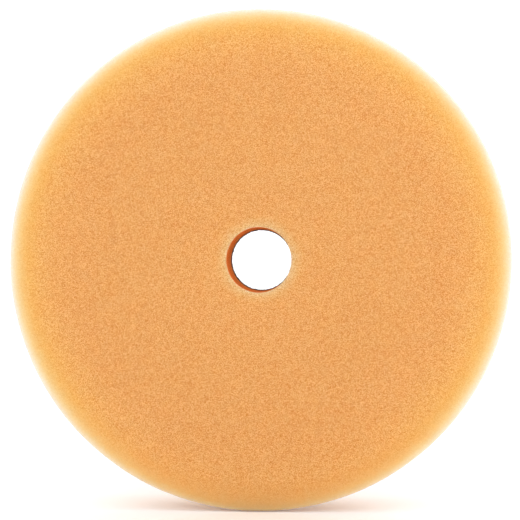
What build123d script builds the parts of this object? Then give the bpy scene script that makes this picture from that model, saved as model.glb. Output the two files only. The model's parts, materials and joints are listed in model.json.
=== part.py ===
"""Foam polishing pad for a random-orbital car polisher, as a bonded laminate.

The pad stands upright like a wheel, with its axis along Y. The working face looks
towards -Y and the loop backing towards +Y. The origin is the centre of the loop
face, the plane that sits on the polisher's backing plate, so every layer lies at
a depth below that plane, towards -Y.
"""

import os

from build123d import *

# Driving dimensions, in millimetres
FACE_DIAMETER = 150.0  # the working face, the widest part of the pad
BACK_DIAMETER = 130.0  # the foam where it meets the backing
TOTAL_THICKNESS = 25.0  # from the loop face to the working face
HOLE_DIAMETER = 19.5  # the centring hole, through every layer
RIM_LAND = 0.6  # the short straight edge beside the working face
RIM_ROUNDING = 0.3  # where that edge meets the working face
PILE_HEIGHT = 1.2  # the hook-and-loop pile, from its ground to its tips
GROUND_THICKNESS = 0.6  # the knitted ground that the pile stands on
FILM_THICKNESS = 0.3  # the hot-melt film that bonds the ground to the foam
FABRIC_INSET = 0.5  # the fabric is cut this far inside the foam's back edge
FILM_INSET = 1.0  # the film stops this far inside the foam's back edge

# Depths of the layers below the loop face
GROUND_DEPTH = PILE_HEIGHT
FILM_DEPTH = GROUND_DEPTH + GROUND_THICKNESS
FOAM_DEPTH = FILM_DEPTH + FILM_THICKNESS

HOLE_RADIUS = HOLE_DIAMETER / 2
FACE_RADIUS = FACE_DIAMETER / 2
BACK_RADIUS = BACK_DIAMETER / 2
FABRIC_RADIUS = BACK_RADIUS - FABRIC_INSET
FILM_RADIUS = BACK_RADIUS - FILM_INSET


# The foam block: a disc whose side tapers from the working face to the backing
with BuildPart() as foam_body:
    with BuildSketch(Plane.XY):
        with BuildLine():
            Polyline(
                (HOLE_RADIUS, -TOTAL_THICKNESS),
                (FACE_RADIUS, -TOTAL_THICKNESS),
                (FACE_RADIUS, RIM_LAND - TOTAL_THICKNESS),
                (BACK_RADIUS, -FOAM_DEPTH),
                (HOLE_RADIUS, -FOAM_DEPTH),
                close=True,
            )
        make_face()
    revolve(axis=Axis.Y)
    face_edges = foam_body.edges().filter_by(GeomType.CIRCLE).group_by(Axis.Y)[0]
    fillet(face_edges.sort_by(SortBy.RADIUS)[-1], RIM_ROUNDING)

# The hot-melt film, sealed between the foam and the fabric
with BuildPart() as adhesive_film:
    with BuildSketch(Plane.XZ.offset(FILM_DEPTH)):
        Circle(FILM_RADIUS)
        Circle(HOLE_RADIUS, mode=Mode.SUBTRACT)
    extrude(amount=FILM_THICKNESS)

# The fabric's knitted ground
with BuildPart() as loop_ground:
    with BuildSketch(Plane.XZ.offset(GROUND_DEPTH)):
        Circle(FABRIC_RADIUS)
        Circle(HOLE_RADIUS, mode=Mode.SUBTRACT)
    extrude(amount=GROUND_THICKNESS)

# The fabric's pile of loops, as the layer that the loops fill
with BuildPart() as loop_pile:
    with BuildSketch(Plane.XZ):
        Circle(FABRIC_RADIUS)
        Circle(HOLE_RADIUS, mode=Mode.SUBTRACT)
    extrude(amount=PILE_HEIGHT)


foam_body.part.label = "foam_body"
adhesive_film.part.label = "adhesive_film"
loop_ground.part.label = "loop_ground"
loop_pile.part.label = "loop_pile"

os.makedirs("parts", exist_ok=True)
export_step(foam_body.part, "parts/foam_body.step")
export_step(adhesive_film.part, "parts/adhesive_film.step")
export_step(loop_ground.part, "parts/loop_ground.step")
export_step(loop_pile.part, "parts/loop_pile.step")
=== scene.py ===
"""Looks for the foam polishing pad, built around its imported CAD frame.

The pad's axis is Y: the working face looks towards -Y and the loop backing towards +Y.
Seven pieces stand for the four CAD nodes: the open-cell foam block, the hot-melt film,
the knitted ground of the loop fabric, and four quarters of the pile of separate loops.
Lengths are in metres, and MM turns the small ones into metres.
"""

import json
import math

import bpy
import numpy as np
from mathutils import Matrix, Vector, noise


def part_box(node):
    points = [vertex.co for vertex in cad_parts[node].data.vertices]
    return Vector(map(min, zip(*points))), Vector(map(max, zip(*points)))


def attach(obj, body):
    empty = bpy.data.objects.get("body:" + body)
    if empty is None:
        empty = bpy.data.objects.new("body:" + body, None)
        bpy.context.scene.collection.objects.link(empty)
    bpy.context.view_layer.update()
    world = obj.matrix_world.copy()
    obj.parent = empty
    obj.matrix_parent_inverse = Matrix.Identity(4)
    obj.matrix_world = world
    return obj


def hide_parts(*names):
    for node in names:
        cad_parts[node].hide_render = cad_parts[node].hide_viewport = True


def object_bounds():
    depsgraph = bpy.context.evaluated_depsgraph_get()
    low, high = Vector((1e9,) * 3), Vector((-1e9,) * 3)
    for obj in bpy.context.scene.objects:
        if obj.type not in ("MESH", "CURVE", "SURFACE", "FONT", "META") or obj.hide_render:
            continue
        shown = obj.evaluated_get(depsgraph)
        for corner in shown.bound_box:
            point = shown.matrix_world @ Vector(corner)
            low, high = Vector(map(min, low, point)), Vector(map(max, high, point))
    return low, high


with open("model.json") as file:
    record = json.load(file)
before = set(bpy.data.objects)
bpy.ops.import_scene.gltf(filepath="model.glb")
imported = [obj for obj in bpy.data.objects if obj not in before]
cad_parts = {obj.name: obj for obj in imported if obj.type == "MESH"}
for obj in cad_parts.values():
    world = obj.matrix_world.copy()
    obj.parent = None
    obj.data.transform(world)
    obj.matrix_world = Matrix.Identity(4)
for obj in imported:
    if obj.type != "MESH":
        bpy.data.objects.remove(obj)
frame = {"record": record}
cad_low, cad_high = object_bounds()

MM = 0.001
TURN = 2 * math.pi
rng = np.random.default_rng(23)

# ---------------------------------------------------------------- sizes from the frame

mounts = {mount["name"]: mount for mount in frame["record"]["mounts"]}
HOLE_RADIUS = mounts["centring_hole"]["dims"]["r_mm"] * MM
foam_low, foam_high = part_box("foam_body")
film_low, film_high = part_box("adhesive_film")
ground_low, ground_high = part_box("loop_ground")
pile_low, pile_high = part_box("loop_pile")

FACE_RADIUS = foam_high.x
FABRIC_RADIUS = ground_high.x
FILM_RADIUS = film_high.x
BACK_RADIUS = FABRIC_RADIUS + 0.5 * MM  # the foam stands this far proud of the fabric


# ---------------------------------------------------------------- mesh helpers


def zip_rings(first, first_count, second, second_count):
    """Triangles that join two rings of points, which may differ in their number of points."""
    faces = []
    i = j = 0
    while i < first_count or j < second_count:
        a = first + i % first_count
        b = second + j % second_count
        step_first = (i + 0.5) * second_count <= (j + 0.5) * first_count
        if j == second_count or (step_first and i < first_count):
            faces.append((b, a, first + (i + 1) % first_count))
            i += 1
        else:
            faces.append((b, a, second + (j + 1) % second_count))
            j += 1
    return faces


def profile_points(corners):
    """Points along a closed profile. Each corner is (radius, y, spacing), and spacing is how far
    apart the points are on the way to the next corner."""
    points = []
    for k, (radius, y, spacing) in enumerate(corners):
        next_radius, next_y, _ = corners[(k + 1) % len(corners)]
        finest = min(spacing, corners[k - 1][2])
        steps = max(1, round(math.hypot(next_radius - radius, next_y - y) / spacing))
        for i in range(steps):
            share = i / steps
            place = (radius + (next_radius - radius) * share, y + (next_y - y) * share)
            points.append((*place, finest if i == 0 else spacing))
    return points


def turned_mesh(name, corners):
    """A closed mesh turned about Y from the corners of its profile, with evenly sized faces."""
    points, starts, counts = [], [], []
    for k, (radius, y, spacing) in enumerate(profile_points(corners)):
        count = round(TURN * radius / spacing)
        starts.append(len(points))
        counts.append(count)
        for i in range(count):
            angle = TURN * (i + 0.5 * (k % 2)) / count
            points.append((radius * math.sin(angle), y, radius * math.cos(angle)))
    faces = []
    for k in range(len(starts)):
        after = (k + 1) % len(starts)
        faces += zip_rings(starts[k], counts[k], starts[after], counts[after])
    mesh = bpy.data.meshes.new(name)
    mesh.from_pydata(points, [], faces)
    return mesh


def flat_ring(name, outer, low, high, face_spacing):
    """A thin ring round the hole, from y = low to y = high. Its face at high has the spacing asked
    for, and its hidden face is coarse but for its edges."""
    edge, coarse = 0.3 * MM, 4 * MM
    return turned_mesh(
        name,
        [
            (HOLE_RADIUS, high, edge),
            (HOLE_RADIUS, low, edge),
            (HOLE_RADIUS + MM, low, coarse),
            (outer - MM, low, edge),
            (outer, low, edge),
            (outer, high, face_spacing),
        ],
    )


def displace(mesh, shift):
    """Moves each point along its normal by what shift says for its place, in metres."""
    moved = [v.co + v.normal * shift(v.co) for v in mesh.vertices]
    for vertex, place in zip(mesh.vertices, moved):
        vertex.co = place


def widen(vertex, radius, distance):
    """Moves a point at a radius straight out from the pad's axis."""
    vertex.co.x *= 1 + distance / radius
    vertex.co.z *= 1 + distance / radius


def add_object(mesh, material, smooth=True):
    piece = bpy.data.objects.new(mesh.name, mesh)
    bpy.context.scene.collection.objects.link(piece)
    mesh.materials.append(material)
    mesh.polygons.foreach_set("use_smooth", [smooth] * len(mesh.polygons))
    return piece


# ---------------------------------------------------------------- material helpers


class Shader:
    """A new material's node tree, with short calls to add and join nodes."""

    def __init__(self, name):
        self.material = bpy.data.materials.new(name)
        self.material.use_nodes = True
        self.tree = self.material.node_tree
        self.bsdf = self.tree.nodes["Principled BSDF"]
        self.place = self.add("ShaderNodeTexCoord").outputs["Object"]

    def add(self, kind, **settings):
        node = self.tree.nodes.new(kind)
        for key, value in settings.items():
            setattr(node, key, value)
        return node

    def feed(self, target, value):
        """Gives a socket a value, or joins another node's output to it."""
        if isinstance(value, bpy.types.NodeSocket):
            self.tree.links.new(value, target)
        else:
            target.default_value = value

    def noise(self, size, detail=2.0, roughness=0.5):
        """Noise from 0 to 1, whose features are about size metres wide."""
        node = self.add("ShaderNodeTexNoise")
        self.feed(node.inputs["Vector"], self.place)
        self.feed(node.inputs["Scale"], 1 / size)
        self.feed(node.inputs["Detail"], detail)
        self.feed(node.inputs["Roughness"], roughness)
        return node.outputs["Fac"]

    def cells(self, size, feature):
        """A texture of cells about size metres wide."""
        node = self.add("ShaderNodeTexVoronoi", feature=feature)
        self.feed(node.inputs["Vector"], self.place)
        self.feed(node.inputs["Scale"], 1 / size)
        return node

    def cell_depth(self, size):
        """How far a place is inside its cell, in cells."""
        return self.cells(size, "DISTANCE_TO_EDGE").outputs["Distance"]

    def cell_tone(self, size):
        """A random number for each cell."""
        split = self.add("ShaderNodeSeparateColor")
        self.feed(split.inputs["Color"], self.cells(size, "F1").outputs["Color"])
        return split.outputs["Red"]

    def along(self, axis):
        """Place along X, Y or Z."""
        node = self.add("ShaderNodeSeparateXYZ")
        self.feed(node.inputs["Vector"], self.place)
        return node.outputs[axis]

    def radius(self):
        """Distance from the pad's axis."""
        node = self.add("ShaderNodeVectorMath", operation="MULTIPLY")
        self.feed(node.inputs[0], self.place)
        self.feed(node.inputs[1], (1, 0, 1))
        length = self.add("ShaderNodeVectorMath", operation="LENGTH")
        self.feed(length.inputs[0], node.outputs["Vector"])
        return length.outputs["Value"]

    def math(self, operation, first, second):
        node = self.add("ShaderNodeMath", operation=operation)
        self.feed(node.inputs[0], first)
        self.feed(node.inputs[1], second)
        return node.outputs[0]

    def spread(self, value, low, high, to_low=0.0, to_high=1.0):
        """Maps the range low to high onto to_low to to_high, and holds it there."""
        node = self.add("ShaderNodeMapRange")
        self.feed(node.inputs["Value"], value)
        self.feed(node.inputs["From Min"], low)
        self.feed(node.inputs["From Max"], high)
        self.feed(node.inputs["To Min"], to_low)
        self.feed(node.inputs["To Max"], to_high)
        return node.outputs["Result"]

    def mix(self, factor, first, second, blend="MIX"):
        node = self.add("ShaderNodeMix", data_type="RGBA", blend_type=blend)
        colors = [socket for socket in node.inputs if socket.type == "RGBA"]
        self.feed(node.inputs["Factor"], factor)
        self.feed(colors[0], first)
        self.feed(colors[1], second)
        return next(socket for socket in node.outputs if socket.type == "RGBA")

    def tint(self, color, tone):
        """Multiplies one colour by another."""
        return self.mix(1.0, color, tone, "MULTIPLY")

    def bump(self, height, depth, strength):
        node = self.add("ShaderNodeBump")
        self.feed(node.inputs["Strength"], strength)
        self.feed(node.inputs["Distance"], depth)
        self.feed(node.inputs["Height"], height)
        self.feed(self.bsdf.inputs["Normal"], node.outputs["Normal"])

    def finish(self, color, **inputs):
        self.feed(self.bsdf.inputs["Base Color"], color)
        for key, value in inputs.items():
            self.feed(self.bsdf.inputs[key.replace("_", " ")], value)
        return self.material


# ---------------------------------------------------------------- the foam block

CELL = 0.20 * MM  # the foam's cells, across
PORE_START, PORE_FULL = 0.05, 0.35  # how far inside its cell a pore starts, and is darkest
FOAM_STRUT = (0.81, 0.432, 0.162, 1)
# painted shade: the pores are painted darker and deeper orange, for the shade inside the open cells
FOAM_PORE_SHADE = (0.70, 0.290, 0.069, 1)
CELL_TONES = (0.85, 0.65, 0.38, 1), (1.15, 1.37, 1.66, 1)  # the darkest cell and the lightest
CLUMP_TONES = (0.995, 0.99, 0.985, 1), (1.005, 1.01, 1.015, 1)  # the same for clumps of cells
PATCH_TONES = (1.005, 0.99, 0.965, 1), (0.995, 1.01, 1.035, 1)  # and for wider patches
CLUMP, PATCH, LUMP = 1.1 * MM, 4 * MM, 0.9 * MM  # how wide clumps, patches and lumps are
PORE_BUMP = 0.25 * MM

PAINTED_RIM_GLOW = (0.82, 0.57, 0.162, 1)  # painted glow: the wide band by the rim, painted paler for light coming through from behind
GLOW_REACH, GLOW_TOP = 22 * MM, 0.77  # how far in from the rim it goes, and how far it rises
PAINTED_LIP_GLOW = (0.79, 0.595, 0.48, 1)  # the lip, painted pale for the light that comes through where it is thin
LIP_REACH, LIP_LEVEL = 6.5 * MM, 0.8
BAND_CURVE = 1.9  # how late in its reach either band rises
RIM_ROUNDING, RIM_STEPS = 0.8 * MM, 4  # how round the cut edge of the face has worn
CALM_START, CALM_FULL, CALM_LEVEL = 9 * MM, 2 * MM, 0.85  # by the rim, where the cells blur
SIDE_START, SIDE_END, SIDE_LEVEL = 0.4 * MM, 2.5 * MM, 0.1  # behind the face, where all that fades
LOWEST_START, LOWEST_END = -0.55, -0.97  # of the radius: where the painted glow of lip and band fades to painted shade, low on the rim
LOWEST_LIP = 0.15  # and how much of the painted glow is left there

PAINTED_HOLE_GLOW = (0.80, 0.55, 0.28, 1)  # painted glow round the edge of the hole, for light coming through the thin foam there
HOLE_GLOW_REACH, HOLE_GLOW_LEVEL = 3.5 * MM, 0.55
HOLE_WALL_SHADE = (0.99, 0.275, 0.055, 1)  # the punched wall of the hole, by the face, painted redder as shade and light bounced round in the hole
HOLE_DEEP_SHADE = (0.72, 0.20, 0.045, 1)  # and by the backing, painted darker as the deeper shade there
WALL_FADE = 0.3 * MM, 0.6 * MM  # out from the hole, where the wall's colour ends
WALL_START, WALL_FULL = 0.2 * MM, 1.2 * MM  # behind the face, where it begins

SCATTER = (14, 14, 12)  # how far red, green and blue light goes in the foam, in mm
SCATTER_LEVEL, WALL_SCATTER_LEVEL = 0.85, 0.2


def rim_band(s, radius, reach, top=1.0):
    """A mask that rises towards the rim, from nothing at reach in from it."""
    rise = s.spread(radius, FACE_RADIUS - reach, FACE_RADIUS, 0.0, top)
    return s.math("POWER", rise, BAND_CURVE)


def foam_material():
    """Orange open-cell polyurethane: pale struts round pores painted darker as shade, each cell
    its own tone, a painted glow where the foam is thin and round the hole, and the hole's wall
    painted redder and darker as shade."""
    s = Shader("foam")
    radius, depth = s.radius(), s.along("Y")
    face_y = foam_low.y

    # Where the cells blur, and where the painted glow of light from behind is laid on, less of it
    # low on the rim as painted shade
    near_face = s.spread(depth, face_y + SIDE_START, face_y + SIDE_END, 1.0, SIDE_LEVEL)
    calm_start, calm_full = FACE_RADIUS - CALM_START, FACE_RADIUS - CALM_FULL
    calm = s.math("MULTIPLY", s.spread(radius, calm_start, calm_full, 0.0, CALM_LEVEL), near_face)
    lowest, low = LOWEST_END * FACE_RADIUS, LOWEST_START * FACE_RADIUS
    lit = s.math("MULTIPLY", s.spread(s.along("Z"), lowest, low, LOWEST_LIP, 1.0), near_face)

    # Struts and pores, the pores painted darker as shade, then the painted glow bands by the rim
    # and the painted glow ring round the hole
    pore = s.spread(s.cell_depth(CELL), PORE_START, PORE_FULL)
    color = s.mix(s.spread(calm, 0.0, 1.0, pore, 0.5), FOAM_STRUT, FOAM_PORE_SHADE)
    # painted glow of light through the rim from behind
    rim_glow = rim_band(s, radius, GLOW_REACH, GLOW_TOP)
    color = s.mix(s.math("MULTIPLY", rim_glow, lit), color, PAINTED_RIM_GLOW)
    # painted glow of light through the thin lip
    lip_glow = s.math("MULTIPLY", rim_band(s, radius, LIP_REACH), lit)
    color = s.mix(s.math("MULTIPLY", lip_glow, LIP_LEVEL), color, PAINTED_LIP_GLOW)
    # painted glow round the hole's edge
    ring = s.spread(radius, HOLE_RADIUS, HOLE_RADIUS + HOLE_GLOW_REACH, HOLE_GLOW_LEVEL, 0.0)
    color = s.mix(ring, color, PAINTED_HOLE_GLOW)

    # The wall of the hole, painted redder and darker as shade
    wall = s.spread(radius, HOLE_RADIUS + WALL_FADE[0], HOLE_RADIUS + WALL_FADE[1], 1.0, 0.0)
    behind_face = s.spread(depth, face_y + WALL_START, face_y + WALL_FULL)
    wall = s.math("MULTIPLY", wall, behind_face)
    color = s.mix(wall, color, s.mix(s.spread(depth, face_y, foam_high.y), HOLE_WALL_SHADE, HOLE_DEEP_SHADE))

    # Tones of single cells, clumps and patches
    tone = s.mix(s.cell_tone(CELL), *CELL_TONES)
    color = s.tint(color, s.mix(calm, tone, (1, 1, 1, 1)))
    color = s.tint(color, s.mix(s.spread(s.noise(CLUMP), 0.3, 0.7), *CLUMP_TONES))
    color = s.tint(color, s.mix(s.spread(s.noise(PATCH), 0.35, 0.65), *PATCH_TONES))

    lumps = s.math("MULTIPLY", s.noise(LUMP), 0.5)
    s.bump(s.math("SUBTRACT", lumps, pore), PORE_BUMP, 0.7)
    s.bsdf.subsurface_method = "RANDOM_WALK"
    s.bsdf.inputs["Subsurface Radius"].default_value = SCATTER
    return s.finish(
        color,
        Subsurface_Weight=s.spread(wall, 0.0, 1.0, SCATTER_LEVEL, WALL_SCATTER_LEVEL),
        Subsurface_Scale=MM,
        Roughness=0.95,
        Specular_IOR_Level=0.0,
    )


# How wide and how high the cut foam's unevenness is: slow waves of the cut, lumps, and cells
UNEVENNESS = [(19 * MM, 0.08 * MM), (3.1 * MM, 0.03 * MM), (0.9 * MM, 0.06 * MM)]


def foam_shift(place):
    """How far the cut foam stands out at a place."""
    return sum(noise.noise(place / width) * height for width, height in UNEVENNESS)


def make_foam():
    fine, edge, coarse = 0.6 * MM, 0.3 * MM, 4.0 * MM
    hidden = 2 * MM  # how far in under the backing the mesh is still fine
    face_y, back_y = foam_low.y, foam_high.y
    rim = []
    for step in range(RIM_STEPS):
        angle = math.pi / 2 * step / RIM_STEPS
        in_from_rim = RIM_ROUNDING * (1 - math.sin(angle))
        behind_face = RIM_ROUNDING * (1 - math.cos(angle))
        rim.append((FACE_RADIUS - in_from_rim, face_y + behind_face, edge))
    corners = [
        (HOLE_RADIUS, back_y, fine),
        (HOLE_RADIUS, face_y + edge, edge),
        (HOLE_RADIUS + edge, face_y, fine),
        *rim,
        (FACE_RADIUS, face_y + RIM_ROUNDING, fine),
        (BACK_RADIUS, back_y, fine),
        (BACK_RADIUS - hidden, back_y, coarse),
        (HOLE_RADIUS + hidden, back_y, fine),
    ]
    mesh = turned_mesh("foam_block", corners)
    displace(mesh, foam_shift)
    foam = add_object(mesh, foam_material())
    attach(foam, "root")
    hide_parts("foam_body")


make_foam()


# ---------------------------------------------------------------- the backing


FILM_COLORS = (0.30, 0.20, 0.10, 1), (0.44, 0.31, 0.17, 1)
OUTER_SQUEEZE, HOLE_SQUEEZE = 0.5 * MM, 0.1 * MM  # how unevenly the film ends


def film_material():
    """Cloudy amber hot-melt film."""
    s = Shader("film")
    color = s.mix(s.noise(2 * MM), *FILM_COLORS)
    s.bump(s.noise(0.8 * MM, 3.0), 0.05 * MM, 0.5)
    return s.finish(color, Roughness=0.35, Subsurface_Weight=0.3, Subsurface_Scale=0.3 * MM)


def make_film():
    """The film, squeezed out unevenly at its edges."""
    mesh = flat_ring("hot_melt_film", FILM_RADIUS, film_low.y, film_high.y, 4 * MM)
    middle = (HOLE_RADIUS + FILM_RADIUS) / 2
    for vertex in mesh.vertices:
        radius = math.hypot(vertex.co.x, vertex.co.z)
        squeeze = OUTER_SQUEEZE if radius > middle else HOLE_SQUEEZE
        widen(vertex, radius, noise.noise(vertex.co / (2.5 * MM)) * squeeze)
    film = add_object(mesh, film_material())
    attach(film, "root")
    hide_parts("adhesive_film")


WALE = 1.30 * MM  # between the fabric's upright columns of stitches
COURSE = 1.25 * MM  # between its rows
GROUND_COLORS = (0.018, 0.018, 0.02, 1), (0.035, 0.035, 0.04, 1)
RIB, ROW = 0.06 * MM, 0.04 * MM  # how high a wale's rib and a course's row stand
FRAYED, FRAYED_MORE = 0.25 * MM, 0.15 * MM  # how far its cut edge hangs into the hole

YARN = 0.14 * MM  # radius of a pile loop's yarn
YARN_SIDES, LOOP_RINGS = 3, 7
PILE_COLORS = (0.028, 0.028, 0.030, 1), (0.105, 0.105, 0.112, 1)
LOOP_WIDTHS = 0.65, 1.05  # in mm
LOOP_HEIGHTS = 0.80, 1.10  # of the pile's height


def fabric_material(name, colors, sheen):
    """Charcoal nylon yarn: each place a little lighter or darker, with fine filaments along it."""
    s = Shader(name)
    tone = s.noise(1.4 * MM, 3.0, 0.7)
    wide = s.noise(11 * MM, 2.0)
    tone = s.math("ADD", s.math("MULTIPLY", tone, 0.7), s.math("MULTIPLY", wide, 0.3))
    color = s.mix(s.spread(tone, 0.35, 0.65), *colors)
    s.bump(s.noise(0.06 * MM, 2.0), 0.03 * MM, 0.5)
    return s.finish(
        color, Roughness=0.6, Specular_IOR_Level=0.4, Sheen_Weight=sheen, Sheen_Roughness=0.4
    )


def make_ground():
    """The fabric's ground: a thin sheet with a rib along each wale and a notch at each course, and
    a ragged cut edge that narrows the hole a little."""
    low, high = ground_low.y, ground_high.y
    mesh = flat_ring("loop_ground_sheet", FABRIC_RADIUS, low, high, 0.55 * MM)
    for vertex in mesh.vertices:
        if vertex.co.y > high - 0.01 * MM:
            rib = math.cos(TURN * vertex.co.x / WALE) - 1
            row = math.cos(TURN * vertex.co.z / COURSE) - 1
            vertex.co.y += RIB * rib + ROW * row
        radius = math.hypot(vertex.co.x, vertex.co.z)
        if radius < HOLE_RADIUS + 0.1 * MM:
            frayed = FRAYED + noise.noise(vertex.co / (0.8 * MM)) * FRAYED_MORE
            widen(vertex, radius, -frayed)
    ground = add_object(mesh, fabric_material("loop_ground", GROUND_COLORS, 0.1))
    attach(ground, "root")
    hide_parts("loop_ground")


def loop_roots():
    """Where the pile loops stand, and which way each leans: a pair for each stitch of the fabric,
    one to each side, a little off their place."""
    columns = np.arange(-FABRIC_RADIUS, FABRIC_RADIUS, WALE)
    rows = np.arange(-FABRIC_RADIUS, FABRIC_RADIUS, COURSE)
    x, z, side = np.meshgrid(columns, rows, (-1, 1), indexing="ij")
    odd_column = np.arange(len(columns)) % 2
    z = z + odd_column[:, None, None] * COURSE / 2
    x = x + side * 0.2 * WALE + rng.normal(0, 0.10 * MM, x.shape)
    z = z + side * 0.2 * COURSE + rng.normal(0, 0.10 * MM, z.shape)
    radius = np.hypot(x, z)
    inside = (radius < FABRIC_RADIUS - 0.35 * MM) & (radius > HOLE_RADIUS + 0.3 * MM)
    return x[inside], z[inside], side[inside]


def loop_tubes(name, x, z, side):
    """Closed tubes of yarn, one arch for each root, leaning to its side of the stitch."""
    count = len(x)
    along = np.linspace(0, 1, LOOP_RINGS)
    height = rng.uniform(*LOOP_HEIGHTS, count) * (pile_high.y - pile_low.y)
    width = rng.uniform(*LOOP_WIDTHS, count) * MM
    heading = side * 0.6 + rng.normal(0.2, 0.45, count)
    lean = side * 0.3 * MM + rng.normal(0.15, 0.2, count) * MM
    skew = rng.normal(0, 0.2, count) * MM
    run = np.stack([np.cos(heading), 0 * heading, np.sin(heading)], 1)
    across = np.stack([-np.sin(heading), 0 * heading, np.cos(heading)], 1)
    up = np.array([0.0, 1.0, 0.0])
    arch = np.sin(math.pi * along)
    swing = np.cos(math.pi * along)
    bulge = 1 + 0.45 * arch
    root = np.stack([x, np.full(count, pile_low.y - 0.15 * MM), z], 1)
    path = (
        root[:, None, :]
        - run[:, None, :] * (width[:, None] / 2 * swing * bulge)[:, :, None]
        + up * (height[:, None] * arch**0.8)[:, :, None]
        + across[:, None, :] * (lean[:, None] * arch**1.5 + skew[:, None] * swing)[:, :, None]
    )
    tangent = np.gradient(path, axis=1)
    tangent /= np.linalg.norm(tangent, axis=2, keepdims=True)
    flat = np.cross(tangent, across[:, None, :])
    flat /= np.linalg.norm(flat, axis=2, keepdims=True)
    second = np.cross(tangent, flat)
    spin = TURN * np.arange(YARN_SIDES) / YARN_SIDES
    yarn = YARN * rng.uniform(0.75, 1.25, count)[:, None, None, None]
    ring = (
        flat[:, :, None, :] * np.cos(spin)[None, None, :, None]
        + second[:, :, None, :] * np.sin(spin)[None, None, :, None]
    )
    points = path[:, :, None, :] + ring * yarn
    per_loop = LOOP_RINGS * YARN_SIDES
    loop_faces = []
    for start in range(0, per_loop - YARN_SIDES, YARN_SIDES):
        for i in range(YARN_SIDES):
            a, b = start + i, start + (i + 1) % YARN_SIDES
            loop_faces.append((a, b, b + YARN_SIDES, a + YARN_SIDES))
    loop_faces += [(2, 1, 0), (per_loop - 3, per_loop - 2, per_loop - 1)]
    faces = [
        tuple(corner + n * per_loop for corner in face) for n in range(count) for face in loop_faces
    ]
    mesh = bpy.data.meshes.new(name)
    mesh.from_pydata(points.reshape(-1, 3), [], faces)
    return mesh


def make_pile():
    """The pile, in four pieces, one for each quarter of the ring."""
    x, z, side = loop_roots()
    material = fabric_material("loop_pile", PILE_COLORS, 0.25)
    for level, above in (("upper", True), ("lower", False)):
        for hand, positive in (("left", False), ("right", True)):
            chosen = ((z > 0) == above) & ((x > 0) == positive)
            name = f"loop_pile_{level}_{hand}"
            pile = add_object(loop_tubes(name, x[chosen], z[chosen], side[chosen]), material)
            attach(pile, "root")
            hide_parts("loop_pile")


make_film()
make_ground()
make_pile()


# ---------------------------------------------------------------- stage, light and camera


FLOOR_REACH = 6.0
FLOOR_GAP = 0.2 * MM  # below the pad
FLOOR_TONES = 0.955, 0.965
HORIZON_LIGHT, OVERHEAD_LIGHT = 1.21, 1.33


def floor_material():
    s = Shader("floor")
    tone = s.spread(s.noise(60 * MM, 4.0), 0.3, 0.7, *FLOOR_TONES)
    return s.finish(tone, Roughness=0.6, Specular_IOR_Level=0.3)


def make_floor():
    mesh = bpy.data.meshes.new("floor")
    sides = [(-1, -1), (1, -1), (1, 1), (-1, 1)]
    corners = [(x * FLOOR_REACH, y * FLOOR_REACH, cad_low.z - FLOOR_GAP) for x, y in sides]
    mesh.from_pydata(corners, [], [(0, 1, 2, 3)])
    add_object(mesh, floor_material(), smooth=False)


def make_world():
    """A white tent, a little brighter overhead."""
    world = bpy.data.worlds.new("studio")
    world.use_nodes = True
    nodes, links = world.node_tree.nodes, world.node_tree.links
    background = nodes["Background"]
    background.inputs["Color"].default_value = (1, 1, 1, 1)
    place = nodes.new("ShaderNodeTexCoord")
    split = nodes.new("ShaderNodeSeparateXYZ")
    links.new(place.outputs["Generated"], split.inputs["Vector"])
    level = nodes.new("ShaderNodeMapRange")
    links.new(split.outputs["Z"], level.inputs["Value"])
    level.inputs["To Min"].default_value = HORIZON_LIGHT
    level.inputs["To Max"].default_value = OVERHEAD_LIGHT
    links.new(level.outputs["Result"], background.inputs["Strength"])
    bpy.context.scene.world = world


def make_softbox(name, place, aim, size, power):
    light = bpy.data.lights.new(name, "AREA")
    light.shape = "DISK"
    light.size = size
    light.energy = power
    lamp = bpy.data.objects.new(name, light)
    bpy.context.scene.collection.objects.link(lamp)
    lamp.location = place
    lamp.rotation_euler = (Vector(aim) - Vector(place)).to_track_quat("-Z", "Y").to_euler()


CAMERA_DISTANCE = 0.330  # from the working face
FRAME_WIDTH = 0.1550  # what the frame takes in at the working face
CAMERA_TURN = math.radians(2.4)  # how far the camera stands to the right of the pad's axis
SENSOR = 36.0


def make_camera():
    data = bpy.data.cameras.new("camera")
    data.sensor_width = SENSOR
    data.lens = SENSOR * CAMERA_DISTANCE / FRAME_WIDTH
    data.clip_start = 0.01
    camera = bpy.data.objects.new("camera", data)
    bpy.context.scene.collection.objects.link(camera)
    target = Vector((0.0004, cad_low.y, 0))
    back = Vector((math.sin(CAMERA_TURN), -math.cos(CAMERA_TURN), 0))
    camera.location = target + back * CAMERA_DISTANCE
    camera.rotation_euler = (-back).to_track_quat("-Z", "Y").to_euler()
    bpy.context.scene.camera = camera


make_floor()
make_world()
make_softbox("key", (0.7, -0.9, 0.1), (0, 0, 0), 0.5, 2.0)
make_softbox("back", (0.2, 0.8, 0.9), (0, 0, 0), 0.6, 2.0)
make_camera()
bpy.context.scene.view_settings.view_transform = "Standard"
